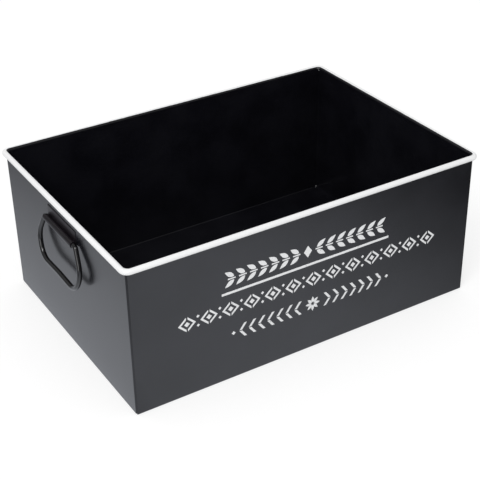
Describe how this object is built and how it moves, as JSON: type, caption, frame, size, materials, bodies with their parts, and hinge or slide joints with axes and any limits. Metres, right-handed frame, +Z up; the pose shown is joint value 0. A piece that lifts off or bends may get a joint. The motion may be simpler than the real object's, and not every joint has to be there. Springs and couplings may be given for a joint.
{
  "type": "storage box",
  "caption": "Open-topped storage box of folded sheet steel with lapped end panels, a white wired rim and a hanging wire handle on each end.",
  "frame": {"origin": "centre of the underside, on the surface that the box stands on", "axes": "+X along the long side, to the right as the front is seen; +Y to the back; +Z up"},
  "size_m": [0.3806, 0.2584, 0.1485],
  "materials": {
    "black_coat": "satin black baked coat on sheet steel",
    "white_enamel": "gloss white paint on the rolled edge",
    "handle_black": "semi-gloss black coat on bent steel wire",
    "plain_wire": "bare drawn steel wire, hidden in the rim"
  },
  "bodies": {
    "box": {"body_wrap": "black_coat", "left_end_panel": "black_coat", "right_end_panel": "black_coat", "rim_curl": "white_enamel", "rim_wire": "plain_wire", "left_handle_clip": "black_coat", "right_handle_clip": "black_coat"},
    "left_handle": {"left_handle": "handle_black"},
    "right_handle": {"right_handle": "handle_black"}
  },
  "joints": [
    {"name": "left_handle_swing", "type": "hinge", "parent": "box", "child": "left_handle", "pos_m": [-0.18315, 0, 0.1228], "axis": [0, 1, 0], "range_deg": [-7, 163]},
    {"name": "right_handle_swing", "type": "hinge", "parent": "box", "child": "right_handle", "pos_m": [0.18315, 0, 0.1228], "axis": [0, -1, 0], "range_deg": [-7, 163]}
  ]
}
